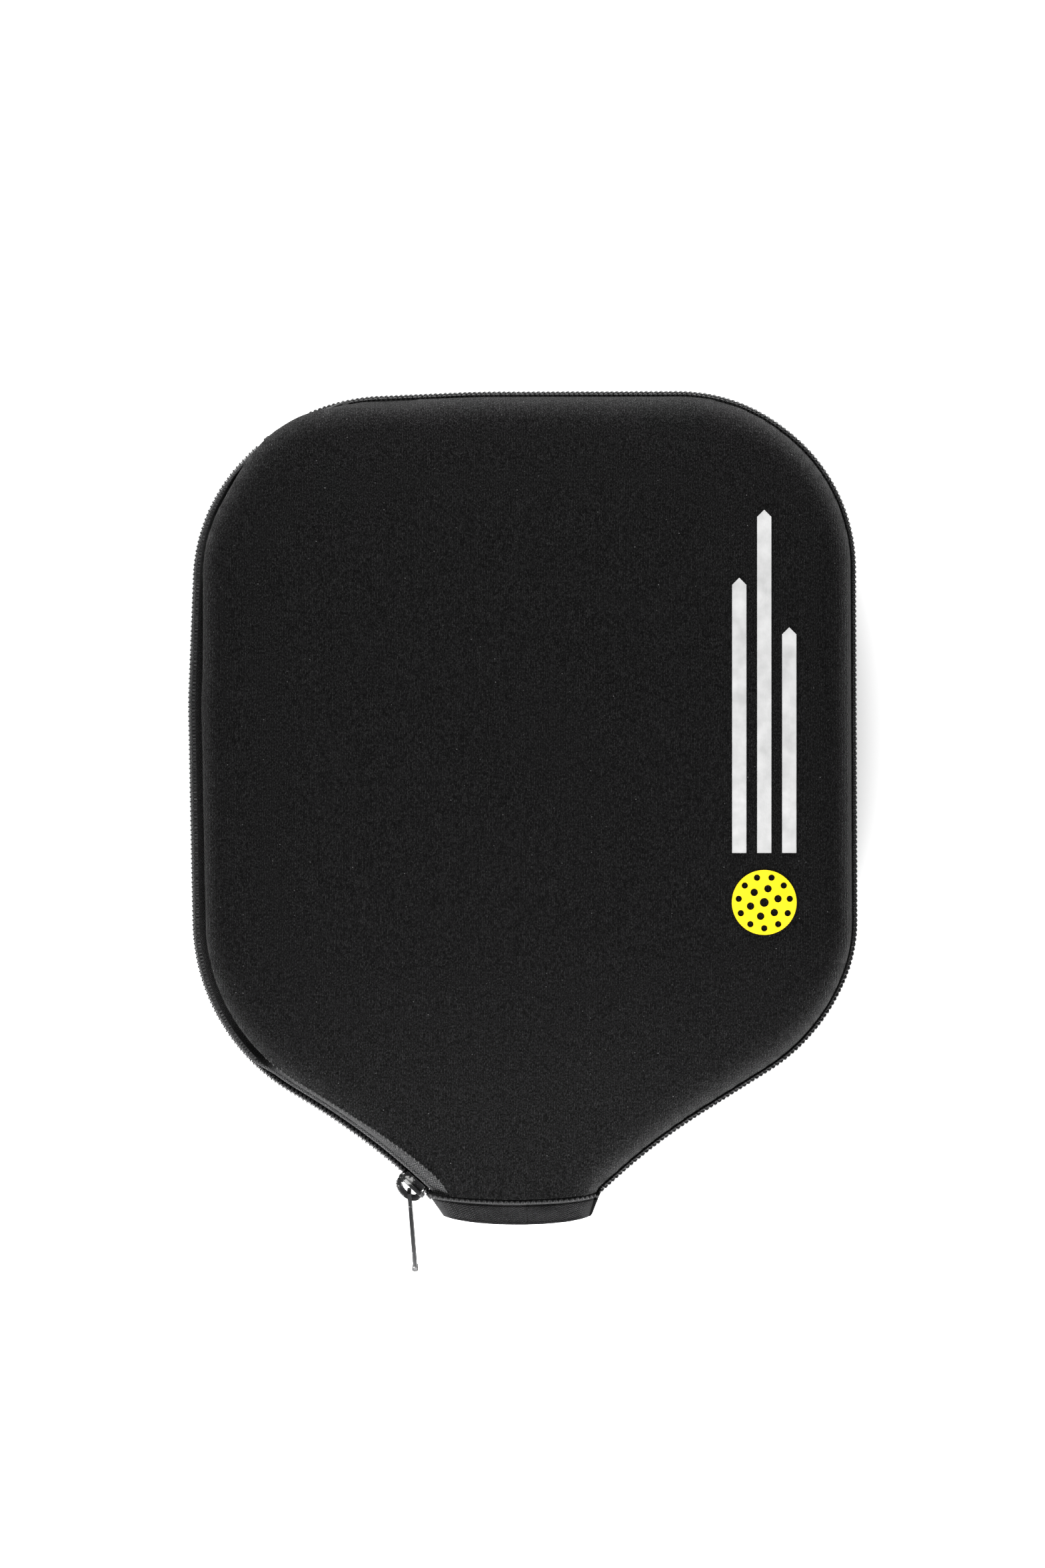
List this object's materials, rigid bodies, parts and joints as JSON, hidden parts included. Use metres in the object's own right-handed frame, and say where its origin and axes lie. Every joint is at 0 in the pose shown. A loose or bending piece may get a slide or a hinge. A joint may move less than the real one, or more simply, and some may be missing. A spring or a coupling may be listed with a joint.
{
  "type": "pickleball paddle case",
  "caption": "Padded neoprene cover for a pickleball paddle, zipped down its left side, open at the bottom for the handle, with an elastic band round the opening.",
  "frame": {"origin": "middle of the flat patch of the rear face that the case rests on", "axes": "+X to the right and +Y to the closed top of the case as its front is seen, +Z out of the front"},
  "size_m": [0.2183, 0.2876, 0.0249],
  "materials": {
    "neoprene": "black nylon jersey laminated to foam",
    "overlock_thread": "black polyester thread",
    "zipper_tape": "black woven tape",
    "nylon_coil": "glossy black nylon",
    "enamelled_metal": "black enamel, worn to bare zinc at its edges",
    "elastic_band": "black herringbone elastic",
    "yellow_film": "satin heat-transfer film",
    "grey_film": "satin heat-transfer film"
  },
  "bodies": {
    "case": {"front_panel": "neoprene", "rear_panel": "neoprene", "seam_binding": "overlock_thread", "zipper_tape_front": "zipper_tape", "zipper_tape_rear": "zipper_tape", "zipper_coil_front": "nylon_coil", "zipper_coil_rear": "nylon_coil", "zipper_top_stop_front": "enamelled_metal", "zipper_top_stop_rear": "enamelled_metal", "zipper_bottom_stop": "enamelled_metal", "throat_band_front": "elastic_band", "throat_band_rear": "elastic_band", "print_ball": "yellow_film", "print_stripe_inner": "grey_film", "print_stripe_middle": "grey_film", "print_stripe_outer": "grey_film"},
    "slider": {"slider_body": "enamelled_metal", "slider_bridge": "enamelled_metal"},
    "pull": {"pull_tab": "enamelled_metal"}
  },
  "joints": [
    {"name": "slider_travel", "type": "hinge", "parent": "case", "child": "slider", "pos_m": [-0.18976, -0.29234, 0.012], "axis": [0, 0, 1], "range_deg": [0, 9.4]},
    {"name": "pull_swing", "type": "hinge", "parent": "slider", "child": "pull", "pos_m": [-0.03724, -0.12463, 0.012], "axis": [0, 0, 1], "range_deg": [-126, 33]}
  ]
}
